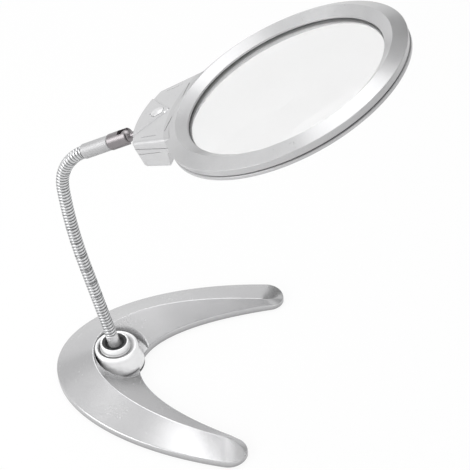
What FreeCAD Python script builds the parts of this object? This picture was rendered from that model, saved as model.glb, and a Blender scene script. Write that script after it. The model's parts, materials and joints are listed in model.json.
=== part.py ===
import FreeCAD, Part
import math
import os

# Stand magnifier: crescent base, bell-shaped boss, flexible spiral neck, ball joint and a
# lighted round lens on a battery housing.
# Millimetres. The origin lies on the table under the axis of the boss, X runs towards the
# open side of the crescent and Z is up.

V = FreeCAD.Vector
UP = V(0, 0, 1)

# One overrun for every cut that has to pass through a face
overrun = 1.0
flat = 0.05                  # air between pieces that lie on each other
running = 0.08               # radial play of a piece that turns in another

# Crescent base, seen from above: outer and inner edges are half ellipses
outer_centre = 114.2
outer_long = 156.7
outer_wide = 88.1
inner_centre = 328.7
inner_long = 311.7
inner_wide = 96.0
ridge_centre = 125.0
ridge_long = 140.0
ridge_wide = 70.0
tip_reach = 106.5            # how far the leg tips stand from the boss axis
tip_side = 75.0
tip_outer_start = 93.3
tip_inner_start = 99.4
tip_outer_radius = 12.35
tip_inner_radius = 10.6
station_reach = 112.0        # the sections run past the tips and are trimmed by the outline

# Crescent base, heights
foot_height = 0.7
outer_wall = 4.8
inner_wall = 4.9
ridge_high = 17.9
ridge_low = 7.7
ridge_low_at = 95.0
tip_bend_at = 93.0
tip_height = 3.1
station_shares = (0.0, 0.12, 0.24, 0.36, 0.48, 0.6, 0.7, 0.78, 0.84, 0.89, 0.93, 0.965, 1.0)

base_skin = 2.2
cover_thick = 1.8
cover_gap = 0.15
weight_gap = 0.4
weight_floor = 0.1
foot_radius = 5.0
foot_sink = 0.7
foot_places = ((0.0, 0.0), (-33.0, 0.0), (20.0, 56.0), (20.0, -56.0), (92.0, 75.5), (92.0, -75.5))
base_screw_places = ((-18.0, 30.0), (-18.0, -30.0), (56.0, 64.5), (56.0, -64.5))
screw_head_radius = 2.6
screw_head_height = 1.5
screw_radius = 1.25
base_screw_length = 6.4
post_radius = 3.2
cross_width = 0.6            # slot of a cross recess
cross_depth = 0.8
cross_arm_share = 0.6

# Bell-shaped boss that carries the neck
boss_shift = 0.6             # the bell stands a little forward of the axis of its collar
boss_foot_radius = 18.5
boss_foot = foot_height + cover_thick + flat
boss_side_height = 5.6
boss_side_bulge = 17.1
boss_side_bulge_at = 10.4
boss_shoulder_radius = 15.9
boss_shoulder_at = 14.8
boss_brow_radius = 15.3      # rounded brow above the shoulder
boss_brow_at = 17.5
boss_crest_radius = 13.8
boss_crest_at = 18.3
boss_moat_radius = 11.8      # low ring between the crest and the collar
boss_moat_at = 15.9
dish_radius = 21.6           # dished ground round the bell, leaning forward and widening as it rises
dish_floor = 4.9
dish_start = 1.6
dish_lean_share = 0.69
dish_widen_share = 0.215
dish_skin = 1.7
collar_foot_radius = 10.8
collar_radius = 10.0
collar_top = 22.0
collar_edge = 0.5
socket_radius = 8.54
boss_wall = 2.4
boss_tube_wall = 2.0
boss_screw_circle = 14.0
boss_screw_turns = (90, 210, 330)
boss_post_radius = 2.6
boss_screw_length = 5.5

# Bush that turns in the boss and holds the neck
bush_top = 21.4
bush_bottom = 2.65
bush_recess = 1.6
bush_recess_radius = 6.9
clip_height = 0.8
clip_reach = 2.0
clip_groove = 1.0
clip_play = 0.1
clip_mouth = 5.0

# Neck, drawn in its own upright plane
neck_turn = -7.86            # degrees from X, the way the neck stands at rest
neck_foot = 20.0
neck_lean = 9.8
neck_straight = 73.1
neck_slow_radius = 370.0
neck_bend_radius = 37.7
neck_bend = 61.7
plug_radius = 4.25
plug_depth = 12.0
plug_top = 9.7
plug_edge = 0.6
hose_radius = 4.3
valley_depth = 0.42
bore_radius = 2.7
rib_pitch = 2.38
rib_width = 1.85
rib_bevel = 0.45
segment_count = 14
segment_ribs = 5
segment_gap = 0.4
end_radius = 3.05            # the ends of a stretch fall away so that it can lean

# Upper ferrule and slotted ball socket
ferrule_radius = 4.9
ferrule_edge = 0.5
ferrule_length = 21.9
ferrule_pin_radius = 3.0
ferrule_pin_length = 7.0
ferrule_pin_groove = 1.2
socket_length = 12.95        # from the ball's centre back to the ferrule
socket_lip = 2.1             # how far the cup runs past the ball's centre
cup_radius = 5.3
cup_edge = 0.5
cup_play = 0.06
slot_width = 5.5
slot_depth = 4.0
neck_gap = 0.35              # dark line between ferrule and socket
snap_ring_wire = 0.5

# Ball stud
ball_radius = 4.35
stem_radius = 2.4
stem_neck_radius = 2.0
stud_flange_radius = 4.6
stud_flange = 1.2
nut_radius = 4.2
nut_height = 2.6
nut_play = 0.2

# Head: the ball's centre is its origin, X runs to the lens and Z is the lens axis
head_pitch = 22.74
head_roll = 2.71
lens_reach = 118.0           # ball to lens axis
lens_plane = 10.6            # ball to the edge of the opening, along the lens axis
opening_radius = 62.5
crest_radius = 68.95
crest_height = 4.1
facet_radius = 77.1
facet_height = 0.5
strip_height = 0.7
seam_radius = 75.9
seam_height = -4.3
seam_width = 0.35
band_radius = 76.7
band_height = -6.6
ring_bottom = -7.6
ring_bottom_inset = 2.2
rear_opening_radius = 61.6
rear_lip_height = -4.0       # the rear opening widens from here down
rear_slope_radius = 66.0
lens_seat = -1.2
lens_radius = 65.0
lens_edge = 2.0
lens_front_sag = 5.2
lens_rear_sag = 4.2
half_way_sag_share = 0.752
lens_play = 0.2
insert_radius = 11.5
insert_sag = 1.3
insert_room_share = 1.4
insert_along = -7.7
insert_across = -35.0
ring_hollow_outer = 74.0
ring_hollow_inner = 66.6
ring_hollow_top = 0.9
ring_floor = 1.9

# Battery housing on the ring, seen along the lens axis; distances are from the lens axis
nose_reach = 103.6
nose_corner = 97.4
nose_half = 26.6
root_reach = 58.0
root_half = 36.6
corner_round = 3.0
housing_top = 0.1            # at the corners of the nose
top_slope = 3.9              # degrees that the top falls from the ring to the nose
top_round = 2.6
housing_bottom = -18.6
bottom_round = 2.2
heel_reach = 73.0
heel_slope = 4.5
side_line_height = -8.6      # shallow line round the housing, where the nose has its corners
side_line_end = 79.0
side_line_width = 0.35
side_line_depth = 0.3
housing_wall = 1.8

# Raised tongue on top with the button in it
tongue_rise = 0.7
tongue_bevel = 0.6
tongue_end = 79.6
tongue_tip_half = 2.6
tongue_nose_reach = 99.6
tongue_nose_half = 18.6
groove_width = 0.6
groove_depth = 0.45
groove_reach = 73.4
groove_inner = 9.6
groove_outer = 23.8
side_groove_across = 25.2
side_groove_start = 79.5
side_groove_end = 91.0
side_groove_end_across = 22.9
button_reach = 88.0
button_radius = 4.2
button_play = 0.15
button_proud = 1.3
button_dome = 0.9
button_travel = 0.7
button_flange = 0.9
button_flange_height = 0.5
button_stem_radius = 1.6
dimple_reach = 93.4
dimple_radius = 0.7

# Inside the housing
cell_radius = 5.25
cell_length = 43.7
cell_cap_radius = 1.9
cell_cap = 0.8
nut_room = 4.45              # from the nose's wall to the first cell, for the nut of the ball's stem
cell_gap = 0.15
cell_height = -11.25
contact_thick = 0.4
contact_width = 6.4
spring_wire = 0.35
spring_radius = 2.2
spring_length = 2.6
spring_turns = 3
board_thick = 1.2
board_reach = 88.0
board_length = 18.0
board_width = 34.0
board_top = -4.4
switch_width = 6.4
switch_height = 1.4
plunger_sink = 0.3
led_reach = 67.6
led_across = 17.0
led_radius = 2.5
led_length = 6.4
led_flange_radius = 2.9
led_flange = 1.0
led_lean = 14.0
wire_radius = 0.55
wire_start = 0.4
frame_screw_places = ((63.6, 30.0), (63.6, -30.0), (-56.0, 42.5), (-56.0, -42.5))
frame_screw_length = 6.0
frame_post_radius = 2.9

# Battery door in the bottom of the housing
door_start = 77.9
door_end = 97.2
door_half = 23.2
door_play = 0.2
door_thick = 1.7
door_lip = 1.2
track_low = 0.55
track_width = 0.6
track_play = 0.1
door_rib_pitch = 2.4
door_rib_start = 3.6
door_ribs = 4
door_rib_length = 14.0
door_rib_depth = 0.5


def polygon(points):
    return Part.makePolygon(list(points) + [points[0]])


def plate(points, height):
    """Flat sheet with the given corners, raised along Z."""
    return Part.Face(polygon(points)).extrude(V(0, 0, height))


def turned(points):
    """Body of revolution about Z from points given as radius and height."""
    face = Part.Face(polygon([V(radius, 0, height) for radius, height in points]))
    return face.revolve(V(0, 0, 0), UP, 360)


def rod(radius, length, start, direction):
    return Part.makeCylinder(radius, length, start, direction)


def joined(shapes):
    whole = shapes[0]
    for shape in shapes[1:]:
        whole = whole.fuse(shape)
    return whole.removeSplitter()


def moved(shape, placement):
    copy = shape.copy()
    copy.Placement = placement.multiply(copy.Placement)
    return copy


def screw(length, head_radius=screw_head_radius):
    """Pan head screw with a cross recess, head down, thread running up Z."""
    body = rod(head_radius, screw_head_height, V(0, 0, -screw_head_height), UP)
    body = body.fuse(rod(screw_radius, length, V(0, 0, 0), UP))
    arm = head_radius * cross_arm_share
    for long_side, short_side in ((arm, cross_width / 2), (cross_width / 2, arm)):
        slot = Part.makeBox(long_side * 2, short_side * 2, cross_depth + overrun,
                            V(-long_side, -short_side, -screw_head_height - overrun))
        body = body.cut(slot)
    return body


# Crescent base

def half_ellipse(centre, long_radius, wide_radius, end_x):
    """Edge from the far side round the back to the near side, cut off at end_x."""
    curve = Part.Ellipse(V(centre + long_radius, 0, 0), V(centre, wide_radius, 0), V(centre, 0, 0))
    start = math.acos((end_x - centre) / long_radius)
    return Part.ArcOfEllipse(curve, start, 2 * math.pi - start).toShape()


def ellipse_point(centre, long_radius, wide_radius, end_x, share):
    """Point on the half ellipse at a share of the turn from its back to end_x."""
    turn = share * math.acos((centre - end_x) / long_radius)
    return centre - long_radius * math.cos(turn), wide_radius * math.sin(turn)


def tip_arc(edge, side, radius, inset):
    """Round corner from the end of a long edge to the furthest point of a leg."""
    end = [vertex.Point for vertex in edge.Vertexes if vertex.Point.y * side > 0][0]
    reach = V(tip_reach - inset, side * tip_side, 0)
    centre = reach - V(radius - inset, 0, 0)
    halfway = (end - centre).normalize() + (reach - centre).normalize()
    return Part.Arc(end, centre + halfway.normalize() * (radius - inset), reach).toShape()


def crescent_outline(inset):
    outer = half_ellipse(outer_centre, outer_long - inset, outer_wide - inset, tip_outer_start)
    inner = half_ellipse(inner_centre, inner_long + inset, inner_wide + inset, tip_inner_start)
    edges = [outer]
    edges.append(tip_arc(outer, 1, tip_outer_radius, inset))
    edges.append(tip_arc(inner, 1, tip_inner_radius, inset))
    edges.append(inner)
    edges.append(tip_arc(inner, -1, tip_inner_radius, inset))
    edges.append(tip_arc(outer, -1, tip_outer_radius, inset))
    return Part.Face(Part.Wire(edges))


def tip_factor(x):
    """Share of the full height that is left where the leg tips bend down."""
    if x <= tip_bend_at:
        return 1.0
    share = (x - tip_bend_at) / (tip_reach - tip_bend_at)
    return 1.0 - (1.0 - tip_height / outer_wall) * min(share, 1.0)


def ridge_height(x):
    slope = (ridge_high - ridge_low) / (ridge_low_at + ridge_long - ridge_centre)
    return ridge_high - slope * (x + ridge_long - ridge_centre)


def beyond(start, end, extra):
    """Point past end on the line from start."""
    return end + (end - start).normalize() * extra


def crescent_roof(drop):
    """Body under the two sloping faces that meet in the ridge, wider than the outline."""
    sections = []
    shares = [-share for share in reversed(station_shares[1:])] + list(station_shares)
    for share in shares:
        outer_x, outer_y = ellipse_point(outer_centre, outer_long, outer_wide, station_reach, share)
        inner_x, inner_y = ellipse_point(inner_centre, inner_long, inner_wide, station_reach, share)
        ridge_x, ridge_y = ellipse_point(ridge_centre, ridge_long, ridge_wide, station_reach, share)
        factor = tip_factor(ridge_x)
        outer = V(outer_x, outer_y, foot_height + outer_wall * factor - drop)
        inner = V(inner_x, inner_y, foot_height + inner_wall * factor - drop)
        ridge = V(ridge_x, ridge_y, foot_height + ridge_height(ridge_x) * factor - drop)
        outside = beyond(ridge, outer, base_skin)
        inside = beyond(ridge, inner, base_skin)
        low = -outer_long
        corners = [V(outside.x, outside.y, low), outside, ridge, inside, V(inside.x, inside.y, low)]
        sections.append(polygon(corners))
    return Part.makeLoft(sections, True, False)


def crescent(inset, drop, bottom):
    prism = crescent_outline(inset).extrude(V(0, 0, ridge_high * 2))
    prism.translate(V(0, 0, bottom))
    return prism.common(crescent_roof(drop))


def bell(grow):
    """Solid bell with rounded sides and a low ring round its collar, grown all over."""
    foot = V(boss_foot_radius + grow, 0, boss_foot - grow)
    side = V(boss_foot_radius + grow, 0, boss_side_height)
    bulge = V(boss_side_bulge + grow, 0, boss_side_bulge_at)
    shoulder = V(boss_shoulder_radius + grow, 0, boss_shoulder_at)
    brow = V(boss_brow_radius + grow, 0, boss_brow_at + grow)
    crest = V(boss_crest_radius, 0, boss_crest_at + grow)
    moat = V(boss_moat_radius, 0, boss_moat_at + grow)
    edges = [Part.LineSegment(V(0, 0, foot.z), foot).toShape(), Part.LineSegment(foot, side).toShape(),
             Part.Arc(side, bulge, shoulder).toShape(), Part.Arc(shoulder, brow, crest).toShape(),
             Part.LineSegment(crest, moat).toShape(), Part.LineSegment(moat, V(0, 0, moat.z)).toShape(),
             Part.LineSegment(V(0, 0, moat.z), V(0, 0, foot.z)).toShape()]
    body = Part.Face(Part.Wire(edges)).revolve(V(0, 0, 0), UP, 360)
    body.translate(V(boss_shift, 0, 0))
    return body


def bell_hollow():
    """Room inside the bell, open at its foot."""
    body = turned([(0, boss_foot - overrun), (boss_foot_radius - boss_wall, boss_foot - overrun),
                   (boss_foot_radius - boss_wall, boss_side_height),
                   (boss_side_bulge - boss_wall, boss_side_bulge_at),
                   (boss_moat_radius, boss_moat_at - boss_wall), (0, boss_moat_at - boss_wall)])
    body.translate(V(boss_shift, 0, 0))
    return body


def dish(grow):
    """Leaning round hollow that clears the ground round the bell."""
    rings = []
    for height in (dish_floor - grow, ridge_high * 2):
        rise = height - dish_floor
        wire = Part.makeCircle(dish_radius + grow + rise * dish_widen_share,
                               V(dish_start + rise * dish_lean_share, 0, height), UP)
        rings.append(Part.Wire(wire))
    return Part.makeLoft(rings, True, True)


def boss_room(grow):
    """Space that the bell, its collar and the round plate under it take up."""
    foot = rod(boss_foot_radius + grow, boss_foot + grow, V(boss_shift, 0, 0), UP)
    collar = rod(collar_foot_radius + grow, collar_top, V(0, 0, boss_foot), UP)
    return bell(grow).fuse(foot).fuse(collar)


def boss_screw_places():
    places = []
    for turn in boss_screw_turns:
        angle = math.radians(turn)
        places.append((boss_shift + boss_screw_circle * math.cos(angle), boss_screw_circle * math.sin(angle)))
    return places


def base_shell():
    shell = crescent(0, 0, foot_height)
    hollow = crescent(base_skin, base_skin, foot_height - overrun)
    shell = shell.cut(hollow.cut(dish(dish_skin))).cut(dish(0))
    floor = foot_height + cover_thick + cover_gap
    for x, y in base_screw_places:
        post = rod(post_radius, ridge_high, V(x, y, floor), UP)
        shell = shell.fuse(post.common(crescent(base_skin / 2, base_skin / 2, floor)))
    for x, y in base_screw_places:
        shell = shell.cut(rod(screw_radius + flat, base_screw_length, V(x, y, floor - overrun), UP))
    return shell.cut(boss_room(flat)).removeSplitter()


def base_cover():
    inset = base_skin + cover_gap
    cover = crescent_outline(inset).extrude(V(0, 0, cover_thick))
    disc = rod(boss_foot_radius, cover_thick, V(boss_shift, 0, 0), UP)
    cover = cover.fuse(disc)
    cover.translate(V(0, 0, foot_height))
    for x, y in foot_places:
        cover = cover.cut(rod(foot_radius + flat, foot_sink + overrun, V(x, y, foot_height - overrun), UP))
    for x, y in base_screw_places + tuple(boss_screw_places()):
        cover = cover.cut(rod(screw_radius + cover_gap, cover_thick + 2 * overrun,
                              V(x, y, foot_height - overrun), UP))
        sink = screw_head_height - foot_height / 2
        cover = cover.cut(rod(screw_head_radius + cover_gap, sink + overrun,
                              V(x, y, foot_height - overrun), UP))
    return cover.removeSplitter()


def base_weight():
    """Cast crescent that keeps the stand from tipping, laid on the cover."""
    inset = base_skin + cover_gap + weight_gap
    bottom = foot_height + cover_thick + weight_floor
    weight = crescent(inset, base_skin + weight_gap, bottom)
    for x, y in base_screw_places:
        weight = weight.cut(rod(post_radius + weight_gap, ridge_high * 2, V(x, y, 0), UP))
    weight = weight.cut(boss_room(weight_gap)).cut(dish(dish_skin + weight_gap))
    return weight.removeSplitter()


def base_feet():
    feet = []
    for x, y in foot_places:
        foot = rod(foot_radius, foot_height + foot_sink, V(x, y, 0), UP)
        edges = [edge for edge in foot.Edges if edge.BoundBox.ZMax < flat and len(edge.Vertexes) == 1]
        feet.append(foot.makeFillet(foot_sink / 2, edges[:1]))
    return Part.Compound(feet)


def base_screws():
    seat = screw_head_height + foot_height / 2
    screws = []
    for x, y in base_screw_places:
        part = screw(base_screw_length - overrun)
        part.translate(V(x, y, seat))
        screws.append(part)
    return Part.Compound(screws)


def boss_screws():
    seat = screw_head_height + foot_height / 2
    screws = []
    for x, y in boss_screw_places():
        part = screw(boss_screw_length - overrun)
        part.translate(V(x, y, seat))
        screws.append(part)
    return Part.Compound(screws)


def neck_boss():
    """Bell with a stepped collar on top and a tube inside for the bush."""
    collar = turned([(0, boss_moat_at - overrun), (collar_foot_radius, boss_moat_at - overrun),
                     (collar_foot_radius, boss_moat_at + collar_edge),
                     (collar_radius, boss_moat_at + 2 * collar_edge),
                     (collar_radius, collar_top - collar_edge),
                     (collar_radius - collar_edge, collar_top), (0, collar_top)])
    outer = bell(0).fuse(collar)
    tube_bottom = bush_bottom + clip_groove + clip_height + 2 * clip_play
    tube = rod(socket_radius + boss_tube_wall, collar_top, V(0, 0, tube_bottom), UP)
    posts = []
    floor = foot_height + cover_thick + flat
    for x, y in boss_screw_places():
        posts.append(rod(boss_post_radius, boss_moat_at, V(x, y, floor), UP))
    keep = joined([tube] + posts)
    body = outer.cut(bell_hollow().cut(keep))
    body = body.cut(rod(socket_radius, collar_top * 2, V(0, 0, 0), UP))
    for x, y in boss_screw_places():
        body = body.cut(rod(screw_radius + flat, boss_screw_length, V(x, y, floor - overrun), UP))
    return body.removeSplitter()


# Neck

def neck_point(length):
    """Place and heading on the neck's centre line; heading is degrees forward of upright."""
    lean = math.radians(neck_lean)
    if length <= neck_straight:
        return -length * math.sin(lean), neck_foot + length * math.cos(lean), -neck_lean
    along = -neck_straight * math.sin(lean)
    height = neck_foot + neck_straight * math.cos(lean)
    slow_length = neck_slow_radius * lean
    rest = min(length - neck_straight, slow_length)
    heading = -lean + rest / neck_slow_radius
    along += neck_slow_radius * (math.cos(lean) - math.cos(heading))
    height += neck_slow_radius * (math.sin(heading) + math.sin(lean))
    rest = length - neck_straight - slow_length
    if rest > 0:
        end = math.radians(neck_bend)
        turn = min(rest / neck_bend_radius, end)
        along += neck_bend_radius * (1 - math.cos(turn))
        height += neck_bend_radius * math.sin(turn)
        heading = turn
        rest -= neck_bend_radius * turn
        along += rest * math.sin(heading)
        height += rest * math.cos(heading)
    return along, height, math.degrees(heading)


def neck_place(length):
    """Placement whose Z runs up the neck and whose Y is square to the neck's plane."""
    along, height, heading = neck_point(length)
    turn = FreeCAD.Rotation(UP, neck_turn)
    lean = FreeCAD.Rotation(V(0, 1, 0), heading)
    return FreeCAD.Placement(turn.multVec(V(along, 0, height)), turn.multiply(lean))


bend_length = neck_bend_radius * math.radians(neck_bend)
hose_end = neck_straight + neck_slow_radius * math.radians(neck_lean) + bend_length
segment_step = (hose_end - plug_top) / segment_count


def bush():
    """Turning bush with a groove for its clip and a leaning bore for the neck's plug."""
    radius = socket_radius - running
    groove = bush_bottom + clip_groove
    body = turned([(0, bush_bottom), (radius - clip_groove / 2, bush_bottom),
                   (radius, groove - clip_groove / 2),
                   (radius, groove), (radius - clip_groove, groove),
                   (radius - clip_groove, groove + clip_height + clip_play),
                   (radius, groove + clip_height + clip_play), (radius, bush_top),
                   (bush_recess_radius, bush_top), (bush_recess_radius - bush_recess, bush_top - bush_recess),
                   (0, bush_top - bush_recess)])
    bore = moved(rod(plug_radius, plug_depth + collar_top, V(0, 0, -plug_depth), UP), neck_place(0))
    return body.cut(bore).removeSplitter()


def bush_clip():
    """Open ring under the boss tube that keeps the bush in."""
    inner = socket_radius - running - clip_groove + flat
    bottom = bush_bottom + clip_groove + clip_play / 2
    ring = rod(inner + clip_reach, clip_height, V(0, 0, bottom), UP)
    ring = ring.cut(rod(inner, clip_height + 2 * overrun, V(0, 0, bottom - overrun), UP))
    mouth = Part.makeBox(inner + clip_reach + overrun, clip_mouth, clip_height + 2 * overrun,
                         V(0, -clip_mouth / 2, bottom - overrun))
    return ring.cut(mouth)


def neck_plug():
    """Plain end sleeve of the neck, seated in the leaning bore."""
    length = plug_depth + plug_top - segment_gap / 2
    body = turned([(0, 0), (plug_radius - plug_edge, 0), (plug_radius, plug_edge),
                   (plug_radius, length - plug_edge / 2), (plug_radius - plug_edge / 2, length), (0, length)])
    body.translate(V(0, 0, -plug_depth))
    body = body.cut(rod(bore_radius, length, V(0, 0, -plug_depth / 2), UP))
    return moved(body, neck_place(0))


def ring_wire(radius, length):
    """Circle square to the neck's centre line, starting on the same side everywhere."""
    wire = Part.Wire(Part.makeCircle(radius))
    return moved(wire, neck_place(length))


def neck_segment(index):
    """Stretch of the spiral hose: its ribs outside and its bore inside."""
    start = plug_top + segment_step * index + segment_gap / 2
    length = segment_step - segment_gap
    spare = (length - (segment_ribs - 1) * rib_pitch - rib_width) / 2
    valley = hose_radius - valley_depth
    rings = [ring_wire(end_radius, start)]
    for rib in range(segment_ribs):
        low = start + spare + rib * rib_pitch
        rings.append(ring_wire(valley, low))
        rings.append(ring_wire(hose_radius, low + rib_bevel))
        rings.append(ring_wire(hose_radius, low + rib_width - rib_bevel))
        rings.append(ring_wire(valley, low + rib_width))
    rings.append(ring_wire(end_radius, start + length))
    body = Part.makeLoft(rings, True, True)
    bore_rings = []
    for step in range(segment_ribs + 1):
        share = step / segment_ribs
        bore_rings.append(ring_wire(bore_radius, start - overrun + (length + 2 * overrun) * share))
    bore = Part.makeLoft(bore_rings, True, True)
    return body.cut(bore)


def upper_ferrule():
    """Plain sleeve on the neck's top end with the pin that the socket turns on."""
    start = segment_gap / 2
    end = ferrule_length
    pin_end = end + ferrule_pin_length
    groove = pin_end - ferrule_pin_groove * 2
    body = turned([(0, start), (ferrule_radius - ferrule_edge, start), (ferrule_radius, start + ferrule_edge),
                   (ferrule_radius, end - ferrule_edge), (ferrule_radius - ferrule_edge, end),
                   (ferrule_pin_radius, end), (ferrule_pin_radius, groove),
                   (ferrule_pin_radius - snap_ring_wire, groove),
                   (ferrule_pin_radius - snap_ring_wire, groove + ferrule_pin_groove),
                   (ferrule_pin_radius, groove + ferrule_pin_groove),
                   (ferrule_pin_radius, pin_end), (0, pin_end)])
    return moved(body, neck_place(hose_end))


ball_length = hose_end + ferrule_length + neck_gap + socket_length


def ball_socket():
    """Slotted cup round the ball, turning on the ferrule's pin."""
    back = -socket_length
    body = turned([(0, back), (cup_radius - cup_edge, back), (cup_radius, back + cup_edge),
                   (cup_radius, socket_lip - cup_edge), (cup_radius - cup_edge, socket_lip), (0, socket_lip)])
    body = body.cut(Part.makeSphere(ball_radius + cup_play))
    pin_room = ferrule_pin_length - neck_gap + flat
    body = body.cut(rod(ferrule_pin_radius + running, pin_room + overrun, V(0, 0, back - overrun), UP))
    groove = back - neck_gap + ferrule_pin_length - ferrule_pin_groove * 2
    body = body.cut(rod(ferrule_pin_radius + snap_ring_wire + running, ferrule_pin_groove,
                        V(0, 0, groove), UP))
    slot = Part.makeBox(cup_radius * 4, slot_width, slot_depth + socket_lip + overrun,
                        V(-cup_radius * 2, -slot_width / 2, -slot_depth))
    body = body.cut(slot)
    return moved(body.removeSplitter(), neck_place(ball_length))


def snap_ring():
    """Wire ring in the groove between the pin and the socket."""
    groove = -socket_length - neck_gap + ferrule_pin_length - ferrule_pin_groove * 2
    middle = groove + ferrule_pin_groove / 2
    ring = Part.makeTorus(ferrule_pin_radius, snap_ring_wire - flat, V(0, 0, middle), UP)
    mouth = Part.makeBox(cup_radius, ferrule_pin_radius / 2, ferrule_pin_groove * 2,
                         V(0, -ferrule_pin_radius / 4, middle - ferrule_pin_groove))
    return moved(ring.cut(mouth), neck_place(ball_length))


# Head

def head_place():
    along, height, heading = neck_point(ball_length)
    turn = FreeCAD.Rotation(UP, neck_turn)
    pitch = FreeCAD.Rotation(V(0, 1, 0), -head_pitch)
    roll = FreeCAD.Rotation(V(1, 0, 0), head_roll)
    return FreeCAD.Placement(turn.multVec(V(along, 0, height)), turn.multiply(pitch).multiply(roll))


def at_lens(reach, across, height):
    """Point given by its distance from the lens axis towards the ball, across, and along the axis."""
    return V(lens_reach - reach, across, lens_plane + height)


def ring_turned(points):
    body = turned(points)
    body.translate(at_lens(0, 0, 0))
    return body


def housing_outline(inset, root):
    """Tapered outline with a bowed nose, from the nose to the given reach."""
    slope = (root_half - nose_half) / (nose_corner - root_reach)
    root_side = nose_half + slope * (nose_corner - root) - inset
    nose_side = nose_half - inset
    corner = nose_corner - inset
    nose = Part.Arc(at_lens(corner, nose_side, 0), at_lens(nose_reach - inset, 0, 0),
                    at_lens(corner, -nose_side, 0)).toShape()
    sides = Part.makePolygon([at_lens(corner, -nose_side, 0), at_lens(root, -root_side, 0),
                              at_lens(root, root_side, 0), at_lens(corner, nose_side, 0)])
    return Part.Face(Part.Wire([nose] + sides.Edges))


def housing_block(inset, root, bottom, top):
    block = housing_outline(inset, root).extrude(V(0, 0, top - bottom))
    block.translate(V(0, 0, bottom))
    return block


def upright_edges(shape, reach):
    """Edges along the lens axis that lie further out than the given reach."""
    chosen = []
    for edge in shape.Edges:
        box = edge.BoundBox
        if box.ZLength > box.XLength + box.YLength and lens_reach - box.XMax > reach:
            chosen.append(edge)
    return chosen


def level_edges(shape, height, reach):
    """Edges at a height along the lens axis, further out than the given reach."""
    chosen = []
    for edge in shape.Edges:
        box = edge.BoundBox
        level = abs(box.ZMax - lens_plane - height) < flat and box.ZLength < flat
        if level and lens_reach - box.XMin > reach and lens_reach - box.XMax > root_reach - flat:
            if box.YLength < root_half * 2 - flat or lens_reach - box.XMax > reach:
                chosen.append(edge)
    return chosen


def front_ring():
    return ring_turned([(opening_radius, lens_seat), (opening_radius, 0), (crest_radius, crest_height),
                        (facet_radius, facet_height), (facet_radius, facet_height - strip_height),
                        (seam_radius + seam_width, seam_height + seam_width),
                        (ring_hollow_outer, seam_height), (ring_hollow_outer, -strip_height),
                        (crest_radius, ring_hollow_top),
                        (ring_hollow_inner, ring_hollow_top - strip_height),
                        (ring_hollow_inner, lens_seat - lens_edge / 2),
                        (lens_radius + lens_play, lens_seat - lens_edge / 2),
                        (lens_radius + lens_play, lens_seat)])


def tongue():
    """Tapered raised plate with a rounded tip that points to the lens."""
    base = housing_top - top_round / 2
    nose = [at_lens(tongue_nose_reach, side * tongue_nose_half, base) for side in (-1, 1)]
    tip = [at_lens(tongue_end + tongue_tip_half, side * tongue_tip_half, base) for side in (1, -1)]
    bow = nose_reach - nose_corner
    front = Part.Arc(nose[0], at_lens(tongue_nose_reach + bow / 2, 0, base), nose[1]).toShape()
    back = Part.Arc(tip[0], at_lens(tongue_end, 0, base), tip[1]).toShape()
    sides = [Part.LineSegment(nose[1], tip[0]).toShape(), Part.LineSegment(tip[1], nose[0]).toShape()]
    rise = housing_top + tongue_rise - base
    raised = Part.Face(Part.Wire([front, sides[0], back, sides[1]])).extrude(V(0, 0, rise))
    return raised.makeChamfer(tongue_bevel, level_edges(raised, housing_top + tongue_rise, 0))


def groove(start, end):
    """Narrow straight channel in the top face between two points."""
    run = end - start
    side = UP.cross(run).normalize() * (groove_width / 2)
    low = V(0, 0, -groove_depth)
    corners = [start + side + low, end + side + low, end - side + low, start - side + low]
    return plate(corners, groove_depth + overrun)


def frame_posts(bottom, top, radius):
    posts = []
    for reach, across in frame_screw_places:
        posts.append(rod(radius, top - bottom, at_lens(reach, across, bottom), UP))
    return posts


def roof_at(reach):
    """Height of the sloping top face."""
    return housing_top + (nose_corner - reach) * math.tan(math.radians(top_slope))


def sloped(shape):
    """Shape drawn level, tipped so that its top falls towards the nose."""
    copy = shape.copy()
    copy.rotate(at_lens(nose_corner, 0, housing_top), V(0, 1, 0), -top_slope)
    return copy


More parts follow.
